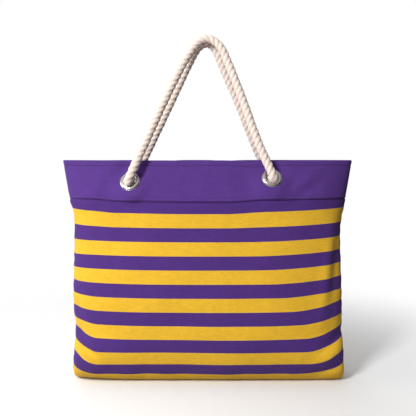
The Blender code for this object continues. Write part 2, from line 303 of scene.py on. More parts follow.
# Rise of the band's lower seam along the bag, as (x, rise) stations.
SEAM_RISES = ((-0.275, 0.0040), (-0.212, 0.0046), (-0.165, 0.0014), (-0.030, 0.0), (0.035, 0.0),
              (0.110, 0.0042), (0.275, 0.0048))
FLARE_HEIGHT = 0.318

# Most that each small move of the cloth comes to.
LEFT_DRAW = 0.0050
CORNER_FLARE = 0.0030
HEM_FILL = 0.0016
FOOT_LIFT = 0.0034
SIDE_PUCKER = 0.0004
SEAM_TUCK = 0.0010
STITCH_PULL = 0.00065


def gathered(x, z):
    """Extra cloth above each point: the side seams take the stripes up in small tucks."""
    total = 0 * x
    sides = ((-1, LEFT_GATHER, LEFT_GATHER_REACH), (1, RIGHT_GATHER, RIGHT_GATHER_REACH))
    for direction, gather, reach in sides:
        inward = np.maximum(half_width(z) - direction * x, 0)
        near = np.clip(1 - inward / np.interp(z, *zip(*reach)), 0, 1) ** 1.6
        total = total + np.interp(z, *zip(*gather)) * near
    return total


def left_draw(x, z):
    """The lower left side is drawn in by a few millimetres."""
    share = np.clip((0.17 - z) / 0.08, 0, 1)
    return LEFT_DRAW * smoothstep(share) * np.clip(-x / FOOT_HALF_WIDTH, 0, 1) ** 2


def side_lift(x, z):
    """The band's seam rides up a little towards both sides, and takes the first stripe with it."""
    rise = eased(x, SEAM_RISES)
    reach = np.where(z > BAND_BOTTOM, 0.026, 0.045)
    return rise * bell(z - BAND_BOTTOM, reach)


def corner_flare(x, z):
    """The right seam stays wide down to the first stripe."""
    return CORNER_FLARE * bell(z - FLARE_HEIGHT, 0.018) * np.clip(x / WAIST_HALF_WIDTH, 0, 1) ** 3


def hem_fill(x, z):
    """Just under the band the side seams stand out as far as the band's hem."""
    below = BAND_BOTTOM - z
    reach = np.clip(below / 0.0015, 0, 1) * bell(below, 0.018)
    return HEM_FILL * reach * np.sign(x) * np.clip(np.abs(x) / WAIST_HALF_WIDTH, 0, 1) ** 10


def foot_lift(x, z):
    """The left end of the foot lifts a little off the ground."""
    share = np.clip((-x - 0.13) / 0.13, 0, 1)
    return FOOT_LIFT * smoothstep(share) * bell(z, 0.035)


def end_shift(x, z):
    """How far the cloth is moved along the bag and up, by the draws, flares and lifts at its two ends."""
    return left_draw(x, z) + corner_flare(x, z) + hem_fill(x, z), side_lift(x, z) + foot_lift(x, z)


# Slow waves in the cloth, as (height, radians per metre): broad and fine on the faces, one along the foot.
BROAD_WAVE = (0.0013, 21.0)
FINE_WAVE = (0.0005, 60.0)
FOOT_WAVE = (0.0011, 75.0)
FOOT_WAVE_HEIGHT = 0.022


def drape(face, x, z):
    """How far the cloth stands off the smooth shell: slow waves, folds, and puckers at the side seams."""
    seed = 1.0 if face == "front" else 2.3
    inward = from_side(x, z)
    free = np.clip(inward / 0.05, 0, 1)
    foot = np.clip(z / 0.03, 0, 1)
    edge = 0.35 + 0.65 * np.clip(inward / 0.014, 0, 1)
    broad = BROAD_WAVE[0] * ripple(x, z, BROAD_WAVE[1], seed)
    fine = FINE_WAVE[0] * ripple(x, z, FINE_WAVE[1], seed + 5)
    low = FOOT_WAVE[0] * ripple(x, 0 * z, FOOT_WAVE[1], seed + 2) * bell(z - FOOT_WAVE_HEIGHT, 0.018)
    relief = foot * (free * (broad + fine) + low)
    for fold in (FRONT_CREASES if face == "front" else BACK_CREASES):
        relief = relief + foot * edge * crease(x, z, *fold)
    pucker = SIDE_PUCKER * bell(inward, 0.016) * np.sin(z * 250 + seed + 2.5 * np.sin(z * 37 + x * 5))
    tucked = -SEAM_TUCK * bell(z - BAND_BOTTOM, 0.003)
    return relief + (pucker * foot + tucked) * (1 - band_share(z)) ** 8


def stitched_in(x, z):
    """The cloth pulled down along the two lines of stitching on the band."""
    wave = 0.75 + 0.25 * np.sin(2 * math.pi * x / 0.011 + 2 * np.sin(x * 60))
    rim_line = bell(z - RIM_STITCH_HEIGHT, 0.0014)
    hem_line = bell(z - HEM_STITCH_HEIGHT, 0.0014)
    return -STITCH_PULL * wave * (rim_line + 0.5 * hem_line)


def rim_wave(face, x):
    """The rim's line isn't quite straight: it dips by the right rope and a little near the middle."""
    side = 1 if face == "front" else -1
    dips = ((0.095 * side, 0.030, 0.0030), (-0.033 * side, 0.022, 0.0014), (-0.200, 0.040, 0.0006))
    return -sum(depth * bell(x - centre, width) for centre, width, depth in dips)


def grommet_plane(side):
    """The hole's centre on the front shell's band, and the cloth's slopes dy/dx and dy/dz there."""
    x, z = GROMMET_PLACES[side]
    share = abs(x) / half_width(np.array(z))
    angle = math.acos(math.copysign(share ** (BAND_POWER / 2), x))
    centre = bare_shell(np.array(angle), np.array(z))
    normal = bare_normal(np.array(angle), np.array(z))
    slope_x = -normal[0] / normal[1]
    return centre, slope_x, math.tan(GROMMET_TILT)


def flattened(points, offset):
    """Pull the cloth flat and tilt it round each grommet, as the eyelet and the rope do."""
    points = points.copy()
    for side in GROMMET_PLACES:
        centre, slope_x, slope_z = grommet_plane(side)
        dx = points[..., 0] - centre[0]
        dz = points[..., 2] - centre[2]
        reach = np.sqrt(dx ** 2 + dz ** 2)
        pull = smoothstep(np.clip((PULL_RADIUS - reach) / (PULL_RADIUS - FLAT_RADIUS), 0, 1))
        length = math.sqrt(1 + slope_x ** 2 + slope_z ** 2)
        plane = centre[1] + dx * slope_x + dz * slope_z - offset * length
        points[..., 1] = points[..., 1] * (1 - pull) + plane * pull
    return points


def cloth_surface(face, angles, heights, offsets):
    """A grid of points on the draped cloth: rows follow heights and offsets, columns follow angles."""
    angle, height = np.meshgrid(angles, heights)
    offset = np.broadcast_to(np.asarray(offsets)[:, None], angle.shape)
    points = bare_shell(angle, height)
    normal = bare_normal(angle, height)
    at_seam = bell(from_side(points[..., 0], height), 0.006)
    pressed = at_seam * (1 - np.clip((height - BAND_BOTTOM) / 0.020, 0, 1))
    offset = np.where(offset > LAYER, offset + (LAYER - offset) * pressed, offset)
    edge = np.minimum(angle, math.pi - angle) < 1e-6
    seam_normal = np.stack([np.sign(np.cos(angle)), 0 * angle, 0 * angle], axis=-1)
    normal = np.where(edge[..., None], seam_normal, normal)
    x = points[..., 0]
    relief = drape(face, x, height)
    on_band = (offset > 0.5 * LAYER) | (offset < -0.5 * LAYER)
    relief = relief + np.where(on_band, stitched_in(x, height) * np.sign(offset), 0)
    draped = points + normal * (offset + relief)[..., None]
    along, up = end_shift(x, height)
    draped[..., 0] += along
    draped[..., 2] += up + rim_wave(face, x) * band_share(height) ** 2
    draped = flattened(draped, offset)
    draped[..., 1] = np.minimum(draped[..., 1], -SEAM_HALF_GAP)
    if face == "back":
        draped[..., 1] *= -1
    return draped


def arc_lengths(points, axis):
    """Running length along an axis of a grid of points, starting at 0."""
    steps = np.linalg.norm(np.diff(points, axis=axis), axis=-1)
    start = np.zeros_like(np.take(steps, [0], axis=axis))
    return np.cumsum(np.concatenate([start, steps], axis=axis), axis=axis)


# -------- mesh helpers
SHARP_ANGLE = math.radians(50)


def linked(name, data):
    """A new object in the scene, holding a mesh, lamp or camera."""
    added = bpy.data.objects.new(name, data)
    bpy.context.scene.collection.objects.link(added)
    return added


def bmesh_object(name, shape):
    mesh = bpy.data.meshes.new(name)
    shape.to_mesh(mesh)
    shape.free()
    return linked(name, mesh)


def mesh_object(name, vertices, polygons, uvs, material):
    mesh = bpy.data.meshes.new(name)
    mesh.from_pydata([tuple(v) for v in vertices], [], polygons)
    if uvs is not None:
        layer = mesh.uv_layers.new(name="cloth")
        for loop in mesh.loops:
            layer.data[loop.index].uv = uvs[loop.vertex_index]
    mesh.update()
    mesh.shade_smooth()
    mesh.materials.append(material)
    return linked(name, mesh)


def ring_quads(rings, sides):
    """Faces between rings of points that each close on themselves."""
    polygons = []
    for ring in range(rings - 1):
        for index in range(sides):
            a, b = ring * sides + index, ring * sides + (index + 1) % sides
            polygons.append((a, b, b + sides, a + sides))
    return polygons


def grid_object(name, points, uvs, flip, material):
    rows, columns = points.shape[:2]
    polygons = []
    for row in range(rows - 1):
        for column in range(columns - 1):
            first = row * columns + column
            quad = (first, first + 1, first + columns + 1, first + columns)
            polygons.append(quad[::-1] if flip else quad)
    return mesh_object(name, points.reshape(-1, 3), polygons, uvs.reshape(-1, 2), material)


def modifier(piece, kind, **settings):
    added = piece.modifiers.new(kind.title(), kind)
    for key, value in settings.items():
        setattr(added, key, value)


def settle(piece):
    """Apply a piece's modifiers to its mesh and keep its hard edges hard."""
    bpy.context.view_layer.update()
    shape = piece.evaluated_get(bpy.context.evaluated_depsgraph_get())
    mesh = bpy.data.meshes.new_from_object(shape)
    piece.modifiers.clear()
    piece.data = mesh
    mesh.shade_smooth()
    mesh.set_sharp_from_angle(angle=SHARP_ANGLE)


def column_angles(count):
    """Angles whose columns lie nearly evenly along the section."""
    fine = np.linspace(0, math.pi, 4000)
    section = bare_shell(fine, np.full_like(fine, 0.2))
    length = arc_lengths(section, 0)
    return np.interp(np.linspace(0, length[-1], count), length, fine)[::-1]


# -------- materials
def node(tree, kind, inputs=None, **settings):
    """Add a shader node; an input given a socket is linked, any other value is set."""
    added = tree.nodes.new(kind)
    for key, value in settings.items():
        setattr(added, key, value)
    for key, value in (inputs or {}).items():
        if isinstance(value, bpy.types.NodeSocket):
            tree.links.new(value, added.inputs[key])
        else:
            added.inputs[key].default_value = value
    return added


def maths(tree, operation, first, second=0.0, third=0.0, clamp=False):
    return node(tree, "ShaderNodeMath", {0: first, 1: second, 2: third}, operation=operation,
                use_clamp=clamp).outputs[0]


def new_material(name):
    material = bpy.data.materials.new(name)
    material.use_nodes = True
    return material, material.node_tree, material.node_tree.nodes["Principled BSDF"]


def finish(shader, settings):
    """Set a shader's own sockets, each by its name."""
    for name, value in settings.items():
        shader.inputs[name].default_value = value


def mix_colour(tree, factor, first, second, blend="MIX"):
    mixed = node(tree, "ShaderNodeMix", {0: factor}, data_type="RGBA", blend_type=blend)
    for socket, colour in ((mixed.inputs[6], first), (mixed.inputs[7], second)):
        if isinstance(colour, bpy.types.NodeSocket):
            tree.links.new(colour, socket)
        else:
            socket.default_value = (*colour, 1.0)
    return mixed.outputs[2]


def cloth_axes(tree):
    """The cloth's own u and v, in metres, along the weft and down the warp."""
    place = node(tree, "ShaderNodeUVMap", uv_map="cloth").outputs[0]
    split = node(tree, "ShaderNodeSeparateXYZ", {0: place})
    return place, split.outputs[0], split.outputs[1]


def stretched_noise(tree, place, scale, detail=2.0):
    """Noise with its own scale along u and v."""
    stretched = node(tree, "ShaderNodeVectorMath", {0: place, 1: (scale[0], scale[1], 1.0)},
                     operation="MULTIPLY").outputs[0]
    return node(tree, "ShaderNodeTexNoise", {"Vector": stretched, "Scale": 1.0, "Detail": detail}).outputs[0]


def toned(tree, shade, pattern, swing, level):
    """A shade varied by a pattern, as shade * (pattern * swing + level)."""
    return maths(tree, "MULTIPLY", shade, maths(tree, "MULTIPLY_ADD", pattern, swing, level))


def painted_seam_shade(tree, v, shade, lines):
    """Painted shade: darker lines along the cloth, standing in for the shadow under a fold's edge and in
    stitching grooves.
    """
    for place, half_height, depth in lines:
        inside = maths(tree, "COMPARE", v, place, half_height)
        shade = toned(tree, shade, inside, -depth, 1.0)
    return shade


def paint(tree, shader, colour, shade):
    """Link a colour, darkened by a shade, to the shader."""
    grey = node(tree, "ShaderNodeCombineColor", {0: shade, 1: shade, 2: shade}).outputs[0]
    tree.links.new(mix_colour(tree, 1.0, colour, grey, "MULTIPLY"), shader.inputs["Base Color"])


def emboss(tree, shader, height, distance, strength=0.35):
    bump = node(tree, "ShaderNodeBump", {"Strength": strength, "Distance": distance, "Height": height})
    tree.links.new(bump.outputs[0], shader.inputs["Normal"])


def bar_mask(tree, place, v):
    """1 on the bars and 0 between them, with slightly ragged edges; the last bar runs on under the foot."""
    ragged = maths(tree, "MULTIPLY_ADD", stretched_noise(tree, place, (500.0, 60.0), 1.0), RAGGEDNESS, v)
    ragged = maths(tree, "MINIMUM", ragged, STRIPE_START + LAST_BAR_MIDDLE * STRIPE_WIDTH)
    phase = maths(tree, "MULTIPLY", maths(tree, "SUBTRACT", ragged, STRIPE_START + RAGGEDNESS / 2),
                  math.pi / STRIPE_WIDTH)
    return maths(tree, "MULTIPLY_ADD", maths(tree, "SINE", phase), EDGE_SHARPNESS, 0.5, clamp=True)


def canvas_material(name, striped=False, lines=()):
    """Heavy cotton canvas with a fine cross rib; the striped cloth has its bars woven in."""
    material, tree, shader = new_material(name)
    place, u, v = cloth_axes(tree)
    slub = stretched_noise(tree, place, (140.0, 900.0))
    colour = PURPLE
    if striped:
        colour = mix_colour(tree, bar_mask(tree, place, v), STRIPE_PURPLE, YELLOW)
    shade = maths(tree, "MULTIPLY_ADD", slub, 0.34, 0.83)
    # Clouds, flecks, streaks and mottles: (scale along u and v, detail, swing).
    for scale, detail, swing in (((16.0, 22.0), 3.0, 0.16), ((700.0, 1500.0), 1.0, 0.24),
                                 ((45.0, 330.0), 2.0, 0.24), ((70.0, 90.0), 2.0, 0.18)):
        shade = toned(tree, shade, stretched_noise(tree, place, scale, detail), swing, 1 - swing / 2)
    # Painted shade along the given lines.
    paint(tree, shader, colour, painted_seam_shade(tree, v, shade, lines))
    weft = maths(tree, "SINE", maths(tree, "MULTIPLY", v, 2 * math.pi / WEFT_PITCH))
    warp = maths(tree, "SINE", maths(tree, "MULTIPLY", u, 2 * math.pi / WARP_PITCH))
    weave = maths(tree, "MULTIPLY_ADD", maths(tree, "MULTIPLY", weft, warp), 0.45, weft)
    emboss(tree, shader, maths(tree, "MULTIPLY_ADD", slub, 1.4, weave), 0.00030)
    finish(shader, {"Roughness": 0.86, "Specular IOR Level": 0.25, "Sheen Weight": 0.08,
                    "Sheen Roughness": 0.45})
    return material


def thread_material(name, colour, strand_width, yarn_width):
    """Spun cotton: slanted yarns over each strand, with painted shade in the grooves between yarns and
    strands.
    """
    material, tree, shader = new_material(name)
    place, u, v = cloth_axes(tree)
    strand = maths(tree, "COSINE", maths(tree, "MULTIPLY", u, 2 * math.pi / strand_width))
    slant = maths(tree, "MULTIPLY_ADD", v, YARN_SLANT, u)
    yarns = maths(tree, "SINE", maths(tree, "MULTIPLY", slant, 2 * math.pi / yarn_width))
    fibres = stretched_noise(tree, place, (2600.0, 500.0), 3.0)
    cloud = stretched_noise(tree, place, (60.0, 45.0))
    # Painted shade: darker in the grooves between strands and, faintly, between yarns.
    shade = maths(tree, "MULTIPLY_ADD", strand, 0.08, 0.92)
    shade = toned(tree, shade, yarns, 0.025, 0.975)
    shade = toned(tree, shade, fibres, 0.16, 0.92)
    shade = toned(tree, shade, cloud, 0.10, 0.95)
    paint(tree, shader, colour, shade)
    emboss(tree, shader, maths(tree, "MULTIPLY_ADD", fibres, 0.9, yarns), yarn_width * 0.15)
    finish(shader, {"Roughness": 0.9, "Specular IOR Level": 0.2, "Sheen Weight": 0.2, "Sheen Roughness": 0.5,
                    "Subsurface Weight": 0.5, "Subsurface Radius": (0.0035, 0.0028, 0.0022),
                    "Subsurface Scale": 1.0})
    return material


def nickel_material():
    """Bright pressed nickel with faint tumbling marks."""
    material, tree, shader = new_material("nickel_finish")
    place = node(tree, "ShaderNodeNewGeometry").outputs["Position"]
    haze = node(tree, "ShaderNodeTexNoise", {"Vector": place, "Scale": 220.0, "Detail": 3.0}).outputs[0]
    marks = node(tree, "ShaderNodeTexNoise", {"Vector": place, "Scale": 1600.0, "Detail": 2.0}).outputs[0]
    tree.links.new(maths(tree, "MULTIPLY_ADD", haze, 0.14, 0.13), shader.inputs["Roughness"])
    paint(tree, shader, NICKEL, maths(tree, "MULTIPLY_ADD", marks, 0.16, 0.86))
    emboss(tree, shader, marks, 0.0001, strength=0.12)
    finish(shader, {"Metallic": 1.0})
    return material


# -------- canvas pieces
def panel_heights():
    """Row heights from the tucked top edge down to the base, closer together round the foot."""
    body = np.linspace(BAND_BOTTOM + BAND_OVERLAP, BELLY_HEIGHT, 62)
    turn = np.linspace(math.pi / 2, 0, 34)[1:]
    return np.concatenate([body, BELLY_HEIGHT * (1 - np.cos(turn))])


def make_panel(face, material):
    angles = column_angles(150)
    heights = panel_heights()
    points = cloth_surface(face, angles, heights, np.zeros_like(heights))
    angle, height = np.meshgrid(angles, heights)
    smooth_points = bare_shell(angle, height)
    down = arc_lengths(smooth_points, 0) - BAND_OVERLAP + gathered(smooth_points[..., 0], height)
    across = arc_lengths(smooth_points, 1)
    across = across - across[:, -1:] / 2
    uvs = np.stack([across, down], axis=-1)
    panel = grid_object(f"{face}_canvas", points, uvs, face == "front", material)
    modifier(panel, "SOLIDIFY", thickness=CANVAS, offset=-1.0)
    settle(panel)
    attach(panel, "bag")
    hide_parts(f"{face}_panel")
    return panel, (float(np.ptp(across)), float(np.ptp(down[:, len(angles) // 2])))


# Rows round the band's turned hem, as (rise above the hem, offset from the band's face).
HEM_TURN = ((0.0030, -0.0004), (0.0006, -0.0002), (0.0, 0.0006), (0.0007, 0.0013), (0.0024, 0.0015))
HEM_LOWEST_ROW = 2
OUTSIDE_ROWS = 40


def band_profile():
    """Rows (height, offset) of the band: round the hem, up the outside, over the rim and down the inside."""
    outside, inside = LAYER, -LAYER - CANVAS
    fold_radius = (outside - inside) / 2
    fold_height = RIM_HEIGHT - fold_radius
    rows = [(BAND_BOTTOM + rise, outside + offset) for rise, offset in HEM_TURN]
    heights = np.linspace(BAND_BOTTOM + 0.0050, fold_height, OUTSIDE_ROWS)
    rows += [(height, outside + 0.0014 * (1 - share) ** 6)
             for share, height in zip(np.linspace(0.06, 1, OUTSIDE_ROWS), heights)]
    for turn in np.linspace(0, math.pi, 9)[1:-1]:
        rows.append((fold_height + fold_radius * math.sin(turn),
                     (outside + inside) / 2 + fold_radius * math.cos(turn)))
    rows += [(height, inside) for height in np.linspace(fold_height, BAND_BOTTOM, 34)]
    return np.array(rows)


def runs_up_outside(heights):
    """Length of cloth from the hem's hidden edge to each height on the band's outside."""
    profile = band_profile()
    outside = slice(HEM_LOWEST_ROW + 1, len(HEM_TURN) + OUTSIDE_ROWS)
    return np.interp(heights, profile[outside, 0], arc_lengths(profile, 0)[outside])


def make_band(face, material):
    angles = column_angles(170)
    profile = band_profile()
    points = cloth_surface(face, angles, profile[:, 0], profile[:, 1])
    along = arc_lengths(profile, 0)
    middle = len(profile) // 2
    across = arc_lengths(points[middle:middle + 1], 1)
    across = np.broadcast_to(across - across[0, -1] / 2, points.shape[:2])
    uvs = np.stack([across, -np.broadcast_to(along[:, None], points.shape[:2])], axis=-1)
    band = grid_object(f"{face}_top_band", points, uvs, face == "back", material)
    modifier(band, "SOLIDIFY", thickness=CANVAS * 0.9, offset=-1.0)
    cutters = [hole_cutter(grommet_frame(face, side)) for side in GROMMET_PLACES]
    for cutter in cutters:
        modifier(band, "BOOLEAN", operation="DIFFERENCE", object=cutter)
    settle(band)
    for cutter in cutters:
        bpy.data.objects.remove(cutter)
    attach(band, "bag")
    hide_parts(f"{face}_band")
    return band, (float(np.ptp(across)), float(along[-1]))


def grommet_frame(face, side):
    """Matrix with its origin at the hole's centre on the band's face and Z out of the bag."""
    centre, slope_x, slope_z = grommet_plane(side)
    out = Vector((slope_x, -1.0, slope_z)).normalized()
    centre = Vector(centre) + out * LAYER
    if face == "back":
        out.y = -out.y
        centre.y = -centre.y
    across = Vector((1, 0, 0))
    across = (across - out * across.dot(out)).normalized()
    turn = Matrix((across, out.cross(across), out)).transposed().to_4x4()
    return Matrix.Translation(centre) @ turn


def hole_cutter(place):
    shape = bmesh.new()
    bmesh.ops.create_cone(shape, cap_ends=True, segments=48, radius1=BARREL_RADIUS + GAP,
                          radius2=BARREL_RADIUS + GAP, depth=0.030)
    cutter = bmesh_object("hole_cutter", shape)
    cutter.matrix_world = place
    return cutter


# -------- metal
def turned(name, profile, steps, place, material):
    """Spin a closed (radius, height) outline about the frame's Z."""
    vertices, uvs, polygons = [], [], []
    count = len(profile)
    for step in range(steps):
        turn = 2 * math.pi * step / steps
        for index, (radius, height) in enumerate(profile):
            vertices.append(place @ Vector((radius * math.cos(turn), radius * math.sin(turn), height)))
            uvs.append((turn * radius, index * 0.001))
            following = (step + 1) % steps
            after = (index + 1) % count
            polygons.append((step * count + index, step * count + after,
                             following * count + after, following * count + index))
    piece = mesh_object(name, vertices, polygons, uvs, material)
    piece.data.set_sharp_from_angle(angle=math.radians(60))
    return piece


def arc(centre, radius, start, end, count):
    """Points on an arc of a profile, with angles in degrees."""
    turns = np.radians(np.linspace(start, end, count))
    return [(centre[0] + radius * math.cos(t), centre[1] + radius * math.sin(t)) for t in turns]


def eyelet_outline():
    """Rolled inner lip, domed flange, barrel, and the end curled over the washer."""
    lip = 0.0017
    roll_height = -(2 * LAYER + CANVAS + 0.0024)
    outline = arc((HOLE_RADIUS + lip, FLANGE_TOP - lip), lip, 180, 80, 8)
    outline += arc((FLANGE_RADIUS - 0.0040, FLANGE_TOP - 0.0042), 0.0040, 78, 8, 8)
    outline += [(FLANGE_RADIUS, 0.0003), (FLANGE_RADIUS - 0.0008, 0.0002), (BARREL_RADIUS, 0.0002)]
    outline += [(BARREL_RADIUS, roll_height)]
    outline += arc((BARREL_RADIUS + 0.0012, roll_height - 0.0002), 0.0013, 60, -120, 7)
    outline += [(HOLE_RADIUS + 0.0003, roll_height + 0.0004), (HOLE_RADIUS, roll_height + 0.0014)]
    return outline


def washer_outline():
    top = -(2 * LAYER + CANVAS + 0.0003)
    inner = BARREL_RADIUS + 0.0003
    return [(inner, top), (WASHER_RADIUS, top), (WASHER_RADIUS + 0.0003, top - 0.0004),
            (WASHER_RADIUS, top - 0.0009), (inner + 0.0012, top - 0.0013), (inner, top - 0.0011)]


def make_metal(face, side, material):
    place = grommet_frame(face, side)
    name = f"{face}_{side}"
    eyelet = turned(f"{name}_eyelet", eyelet_outline()[::-1], 72, place, material)
    washer = turned(f"{name}_ring", washer_outline()[::-1], 48, place, material)
    for piece, stands_for in ((eyelet, f"{name}_grommet"), (washer, f"{name}_washer")):
        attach(piece, "bag")
        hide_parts(stands_for)


# -------- rope
def smooth_route(points, steps):
    """Points on a smooth curve through the given ones, steps to each stretch."""
    points = [Vector(p) for p in points]
    ends = [points[0] * 2 - points[1]] + points + [points[-1] * 2 - points[-2]]
    route = []
    for before, start, end, after in zip(ends, ends[1:], ends[2:], ends[3:]):
        for step in range(steps):
            t = step / steps
            route.append(0.5 * (2 * start + (end - before) * t
                                + (2 * before - 5 * start + 4 * end - after) * t ** 2
                                + (3 * start - before - 3 * end + after) * t ** 3))
    route.append(points[-1])
    return np.array(route)


def even_route(points, spacing):
    """The same line with its points the same distance apart."""
    length = arc_lengths(points, 0)
    count = max(2, int(round(length[-1] / spacing)) + 1)
    places = np.linspace(0, length[-1], count)
    return np.stack([np.interp(places, length, points[:, axis]) for axis in range(3)], axis=1), places


def carried_frames(points):
    """Normals that turn along a line without twisting."""
    tangents = np.gradient(points, axis=0)
    tangents /= np.linalg.norm(tangents, axis=1, keepdims=True)
    start = np.cross(tangents[0], (0.31, 0.17, 0.93))
    normals = [start / np.linalg.norm(start)]
    for tangent in tangents[1:]:
        normal = normals[-1] - tangent * np.dot(normals[-1], tangent)
        normals.append(normal / np.linalg.norm(normal))
    normals = np.array(normals)
    return normals, np.cross(tangents, normals)


def lobed(turn):
    """Radius of the rope's three-lobed outline at a turn, as a share of its crown radius."""
    turn = (turn + math.pi / 3) % (2 * math.pi / 3) - math.pi / 3
    centre = 1 - STRAND_ROUND
    return centre * np.cos(turn) + np.sqrt(STRAND_ROUND ** 2 - (centre * np.sin(turn)) ** 2)


def strand_uvs(rope, uvs):
    """Lay (round, along) uvs on a rope, with no jump where its outline closes."""
    layer = rope.data.uv_layers.new(name="cloth")
    wrap = 2 * math.pi * ROPE_CROWN_RADIUS
    for polygon in rope.data.polygons:
        corners = [uvs[rope.data.loops[loop].vertex_index] for loop in polygon.loop_indices]
        farthest = max(u for u, _ in corners)
        closing = farthest - min(u for u, _ in corners) > wrap / 2
        for loop, (u, v) in zip(polygon.loop_indices, corners):
            behind = closing and u < farthest - wrap / 2
            layer.data[loop].uv = (u + wrap if behind else u, v)


def twisted_rope(name, route, radii, material, sides=ROPE_SIDES):
    """Three strands laid up right-handed round a line; radii gives the crown radius along it."""
    centre, places = even_route(route, ROPE_STEP)
    radius = np.interp(places / places[-1], np.linspace(0, 1, len(radii)), radii)
    radius = radius * (1 + 0.018 * np.sin(places * 143) + 0.012 * np.sin(places * 391 + 1))
    normals, binormals = carried_frames(centre)
    vertices, uvs = [], []
    for step, place in enumerate(places):
        for index in range(sides):
            turn = 2 * math.pi * index / sides
            laid = turn - 2 * math.pi * place / ROPE_LAY
            outward = normals[step] * math.cos(turn) + binormals[step] * math.sin(turn)
            vertices.append(centre[step] + radius[step] * lobed(laid) * outward)
            uvs.append((laid * ROPE_CROWN_RADIUS, place))
    polygons = ring_quads(len(places), sides)
    polygons.append(list(range(sides))[::-1])
    polygons.append(list(range(len(vertices) - sides, len(vertices))))
    rope = mesh_object(name, vertices, polygons, None, material)
    strand_uvs(rope, uvs)
    return rope, centre, places[-1]


def handle_route(face):
    """From inside the left hole, out and up over the apex, and into the right hole."""
    front = face == "front"
    left, right = grommet_frame(face, "left"), grommet_frame(face, "right")
    hinge = [joint for joint in frame["joints"] if joint["child"] == f"{face}_handle"][0]
    start = Vector(hinge["pos_m"])
    axis = Vector(hinge["axis"]) * (1 if front else -1)
    end_x = right.translation.x - (start.x - left.translation.x)
    end = start + axis * ((end_x - start.x) / axis.x)
    route = FRONT_HANDLE_ROUTE if front else BACK_HANDLE_ROUTE
    apex_y = FRONT_APEX_Y if front else -FRONT_APEX_Y
    apex_height = max(height for _, height in route)
    points = [left @ Vector((0, 0, ROPE_START)), left @ Vector((0, 0, HOLE_MOUTH)), start]
    for x, height in route:
        share = (height - start.z) / (apex_height - start.z)
        points.append(Vector((x, start.y + (apex_y - start.y) * share, height)))
    points += [end, right @ Vector((0, 0, HOLE_MOUTH)), right @ Vector((0, 0, ROPE_START))]
    return points, start, axis


def make_handle(face, material):
    points, pivot, axis = handle_route(face)
    route = smooth_route(points, 12)
    rope, centre, length = twisted_rope(f"{face}_rope_handle", route, [ROPE_CROWN_RADIUS] * 2, material)
    return rope, centre, length, pivot, axis


def knot_route(place):
    """In from the hole, back round itself in nearly two turns, and down as a tail."""
    points = [place @ Vector((0, 0, height)) for height in (ROPE_START, -0.0130, -0.0200, -0.0270)]
    steps = 20
    for step in range(steps + 1):
        share = step / steps
        turn = math.pi / 2 + 2 * math.pi * KNOT_TURNS * share
        radius = KNOT_COIL_RADIUS * min(1.0, 0.55 + 2.2 * share)
        height = -0.0325 + 0.0205 * min(1.0, max(0.0, (share - 0.12) / 0.88))
        points.append(place @ Vector((radius * math.cos(turn), radius * math.sin(turn), height)))
    last = points[-1]
    inward = place.to_3x3() @ Vector((0, 0, -1))
    tail_top = 0.024
    tail = ((0.004, 0.010, 0.007), (0.005, tail_top, 0.010), (0.004, tail_top + TAIL_LENGTH / 2, 0.010),
            (0.002, tail_top + TAIL_LENGTH, 0.009))
    for x, drop, reach in tail:
        points.append(last + Vector((x, 0, -drop)) + inward * reach)
    return points


def make_knot(face, side, material):
    route = smooth_route(knot_route(grommet_frame(face, side)), 6)
    radii = (ROPE_CROWN_RADIUS, *[KNOT_ROPE_RADIUS] * 5, ROPE_CROWN_RADIUS)
    knot, _, _ = twisted_rope(f"{face}_{side}_stopper_knot", route, radii, material, KNOT_SIDES)
    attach(knot, "bag")
    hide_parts(f"{face}_{side}_knot")
    return knot


# -------- stitching
def one_stitch(at, along, normal):
    """Points and uvs of one stitch, thin and sunk at its two ends."""
    across = np.cross(normal, along)
    vertices, uvs = [], []
    for ring, fat in STITCH_RINGS:
        sink = STITCH_RADIUS * (0.25 - 1.6 * (2 * ring) ** 4)
        for index in range(STITCH_SIDES):
            turn = 2 * math.pi * index / STITCH_SIDES
            lift = sink + STITCH_RADIUS * fat * math.cos(turn)
            aside = STITCH_RADIUS * fat * math.sin(turn)
            vertices.append(at + along * ring * STITCH_LENGTH + normal * lift + across * aside)
            uvs.append((turn * STITCH_RADIUS, ring * STITCH_LENGTH))
    return vertices, uvs


def stitch_polygons(first):
    """Faces of one stitch whose first point is given."""
    sides, rings = STITCH_SIDES, len(STITCH_RINGS)
    polygons = [(a, d, c, b) for a, b, c, d in ring_quads(rings, sides)]
    polygons.append(range(sides))
    polygons.append(range((rings - 1) * sides, rings * sides)[::-1])
    return [[first + corner for corner in polygon] for polygon in polygons]


def stitch_row(name, face, height, offset, material):
    """A row of separate stitches along the band at one height, lying on the cloth."""
    angles = column_angles(1200)
    line = cloth_surface(face, angles, np.array([height]), np.array([offset]))[0]
    normals = bare_normal(angles, np.full_like(angles, height))
    if face == "back":
        normals[:, 1] *= -1
    length = arc_lengths(line, 0)

    def on_line(place, values):
        return np.array([np.interp(place, length, values[:, axis]) for axis in range(3)])

    vertices, uvs, polygons = [], [], []
    for middle in np.arange(STITCH_MARGIN, length[-1] - STITCH_MARGIN, STITCH_PITCH):
        at = on_line(middle, line)
        if near_grommet(at, STITCH_LENGTH):
            continue
        ahead = on_line(middle + 0.001, line) - at
        points, point_uvs = one_stitch(at, ahead / np.linalg.norm(ahead), on_line(middle, normals))
        polygons += stitch_polygons(len(vertices))
        vertices += points
        uvs += point_uvs
    row = mesh_object(name, vertices, polygons, uvs, material)
    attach(row, "bag")
    return row


def near_grommet(point, margin):
    return any(math.hypot(point[0] - x, point[2] - z) < FLANGE_RADIUS + margin
               for x, z in GROMMET_PLACES.values())


